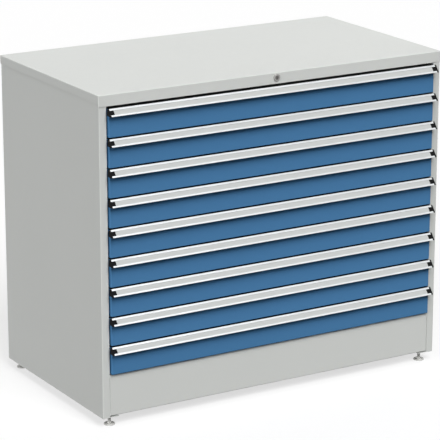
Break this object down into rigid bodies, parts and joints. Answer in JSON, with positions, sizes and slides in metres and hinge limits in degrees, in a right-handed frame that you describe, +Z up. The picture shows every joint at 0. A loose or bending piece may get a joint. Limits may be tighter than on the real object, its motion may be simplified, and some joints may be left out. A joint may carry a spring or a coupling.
{
  "type": "microscope slide cabinet",
  "caption": "Floor-standing sheet steel cabinet with a stack of shallow slide drawers on telescopic runners, slanted label handles, central lock and levelling feet.",
  "frame": {"origin": "on the floor, under the middle of the closed cabinet's box", "axes": "+X to the viewer's right along the width, +Y to the back, +Z up; the drawers open towards -Y"},
  "size_m": [1.0026, 0.559, 0.847],
  "materials": {
    "casing_paint": "fine-textured powder coat, light grey",
    "front_paint": "fine-textured powder coat, blue",
    "tray_paint": "powder coat, light grey",
    "handle_aluminium": "satin anodised extrusion",
    "cap_plastic": "moulded, matt black",
    "runner_steel": "bright zinc plated",
    "galvanised_steel": "galvanised sheet",
    "lock_metal": "nickel plated",
    "foot_steel": "zinc plated, turned"
  },
  "bodies": {
    "cabinet": {"left_side_panel": "casing_paint", "right_side_panel": "casing_paint", "back_panel": "casing_paint", "top_cover": "casing_paint", "plinth_panel": "casing_paint", "bottom_panel": "casing_paint", "runner_uprights": "galvanised_steel", "runner_cabinet_members": "runner_steel", "lock_housing": "lock_metal"},
    "drawer_1": {"drawer_1_box": "tray_paint", "drawer_1_front": "front_paint", "drawer_1_handle": "handle_aluminium", "drawer_1_end_caps": "cap_plastic"},
    "runners_1": {"drawer_1_runner_slides": "runner_steel"},
    "drawer_2": {"drawer_2_box": "tray_paint", "drawer_2_front": "front_paint", "drawer_2_handle": "handle_aluminium", "drawer_2_end_caps": "cap_plastic"},
    "runners_2": {"drawer_2_runner_slides": "runner_steel"},
    "drawer_3": {"drawer_3_box": "tray_paint", "drawer_3_front": "front_paint", "drawer_3_handle": "handle_aluminium", "drawer_3_end_caps": "cap_plastic"},
    "runners_3": {"drawer_3_runner_slides": "runner_steel"},
    "drawer_4": {"drawer_4_box": "tray_paint", "drawer_4_front": "front_paint", "drawer_4_handle": "handle_aluminium", "drawer_4_end_caps": "cap_plastic"},
    "runners_4": {"drawer_4_runner_slides": "runner_steel"},
    "drawer_5": {"drawer_5_box": "tray_paint", "drawer_5_front": "front_paint", "drawer_5_handle": "handle_aluminium", "drawer_5_end_caps": "cap_plastic"},
    "runners_5": {"drawer_5_runner_slides": "runner_steel"},
    "drawer_6": {"drawer_6_box": "tray_paint", "drawer_6_front": "front_paint", "drawer_6_handle": "handle_aluminium", "drawer_6_end_caps": "cap_plastic"},
    "runners_6": {"drawer_6_runner_slides": "runner_steel"},
    "drawer_7": {"drawer_7_box": "tray_paint", "drawer_7_front": "front_paint", "drawer_7_handle": "handle_aluminium", "drawer_7_end_caps": "cap_plastic"},
    "runners_7": {"drawer_7_runner_slides": "runner_steel"},
    "drawer_8": {"drawer_8_box": "tray_paint", "drawer_8_front": "front_paint", "drawer_8_handle": "handle_aluminium", "drawer_8_end_caps": "cap_plastic"},
    "runners_8": {"drawer_8_runner_slides": "runner_steel"},
    "drawer_9": {"drawer_9_box": "tray_paint", "drawer_9_front": "front_paint", "drawer_9_handle": "handle_aluminium", "drawer_9_end_caps": "cap_plastic"},
    "runners_9": {"drawer_9_runner_slides": "runner_steel"},
    "lock": {"lock_plug_and_rod": "lock_metal"},
    "lock_bar": {"lock_bar": "galvanised_steel"},
    "foot_front_left": {"foot_front_left": "foot_steel"},
    "foot_front_right": {"foot_front_right": "foot_steel"},
    "foot_rear_left": {"foot_rear_left": "foot_steel"},
    "foot_rear_right": {"foot_rear_right": "foot_steel"}
  },
  "joints": [
    {"name": "drawer_1_slide", "type": "slide", "parent": "cabinet", "child": "drawer_1", "axis": [0, -1, 0], "range_m": [0, 0.45]},
    {"name": "runners_1_slide", "type": "slide", "parent": "cabinet", "child": "runners_1", "axis": [0, -1, 0], "range_m": [0, 0.225]},
    {"name": "drawer_2_slide", "type": "slide", "parent": "cabinet", "child": "drawer_2", "axis": [0, -1, 0], "range_m": [0, 0.45]},
    {"name": "runners_2_slide", "type": "slide", "parent": "cabinet", "child": "runners_2", "axis": [0, -1, 0], "range_m": [0, 0.225]},
    {"name": "drawer_3_slide", "type": "slide", "parent": "cabinet", "child": "drawer_3", "axis": [0, -1, 0], "range_m": [0, 0.45]},
    {"name": "runners_3_slide", "type": "slide", "parent": "cabinet", "child": "runners_3", "axis": [0, -1, 0], "range_m": [0, 0.225]},
    {"name": "drawer_4_slide", "type": "slide", "parent": "cabinet", "child": "drawer_4", "axis": [0, -1, 0], "range_m": [0, 0.45]},
    {"name": "runners_4_slide", "type": "slide", "parent": "cabinet", "child": "runners_4", "axis": [0, -1, 0], "range_m": [0, 0.225]},
    {"name": "drawer_5_slide", "type": "slide", "parent": "cabinet", "child": "drawer_5", "axis": [0, -1, 0], "range_m": [0, 0.45]},
    {"name": "runners_5_slide", "type": "slide", "parent": "cabinet", "child": "runners_5", "axis": [0, -1, 0], "range_m": [0, 0.225]},
    {"name": "drawer_6_slide", "type": "slide", "parent": "cabinet", "child": "drawer_6", "axis": [0, -1, 0], "range_m": [0, 0.45]},
    {"name": "runners_6_slide", "type": "slide", "parent": "cabinet", "child": "runners_6", "axis": [0, -1, 0], "range_m": [0, 0.225]},
    {"name": "drawer_7_slide", "type": "slide", "parent": "cabinet", "child": "drawer_7", "axis": [0, -1, 0], "range_m": [0, 0.45]},
    {"name": "runners_7_slide", "type": "slide", "parent": "cabinet", "child": "runners_7", "axis": [0, -1, 0], "range_m": [0, 0.225]},
    {"name": "drawer_8_slide", "type": "slide", "parent": "cabinet", "child": "drawer_8", "axis": [0, -1, 0], "range_m": [0, 0.45]},
    {"name": "runners_8_slide", "type": "slide", "parent": "cabinet", "child": "runners_8", "axis": [0, -1, 0], "range_m": [0, 0.225]},
    {"name": "drawer_9_slide", "type": "slide", "parent": "cabinet", "child": "drawer_9", "axis": [0, -1, 0], "range_m": [0, 0.45]},
    {"name": "runners_9_slide", "type": "slide", "parent": "cabinet", "child": "runners_9", "axis": [0, -1, 0], "range_m": [0, 0.225]},
    {"name": "lock_turn", "type": "hinge", "parent": "cabinet", "child": "lock", "pos_m": [0, -0.25675, 0.834], "axis": [0, 1, 0], "range_deg": [0, 90]},
    {"name": "lock_bar_lift", "type": "slide", "parent": "cabinet", "child": "lock_bar", "axis": [0, 0, 1], "range_m": [0, 0.01414]},
    {"name": "foot_front_left_screw", "type": "slide", "parent": "cabinet", "child": "foot_front_left", "axis": [0, 0, 1], "range_m": [-0.012, 0.01]},
    {"name": "foot_front_right_screw", "type": "slide", "parent": "cabinet", "child": "foot_front_right", "axis": [0, 0, 1], "range_m": [-0.012, 0.01]},
    {"name": "foot_rear_left_screw", "type": "slide", "parent": "cabinet", "child": "foot_rear_left", "axis": [0, 0, 1], "range_m": [-0.012, 0.01]},
    {"name": "foot_rear_right_screw", "type": "slide", "parent": "cabinet", "child": "foot_rear_right", "axis": [0, 0, 1], "range_m": [-0.012, 0.01]}
  ],
  "couplings": [
    {"joint": "runners_1_slide", "follows": "drawer_1_slide", "ratio": 0.5},
    {"joint": "runners_2_slide", "follows": "drawer_2_slide", "ratio": 0.5},
    {"joint": "runners_3_slide", "follows": "drawer_3_slide", "ratio": 0.5},
    {"joint": "runners_4_slide", "follows": "drawer_4_slide", "ratio": 0.5},
    {"joint": "runners_5_slide", "follows": "drawer_5_slide", "ratio": 0.5},
    {"joint": "runners_6_slide", "follows": "drawer_6_slide", "ratio": 0.5},
    {"joint": "runners_7_slide", "follows": "drawer_7_slide", "ratio": 0.5},
    {"joint": "runners_8_slide", "follows": "drawer_8_slide", "ratio": 0.5},
    {"joint": "runners_9_slide", "follows": "drawer_9_slide", "ratio": 0.5},
    {"joint": "lock_turn", "follows": "lock_bar_lift", "rad_per_m": 111.07}
  ]
}
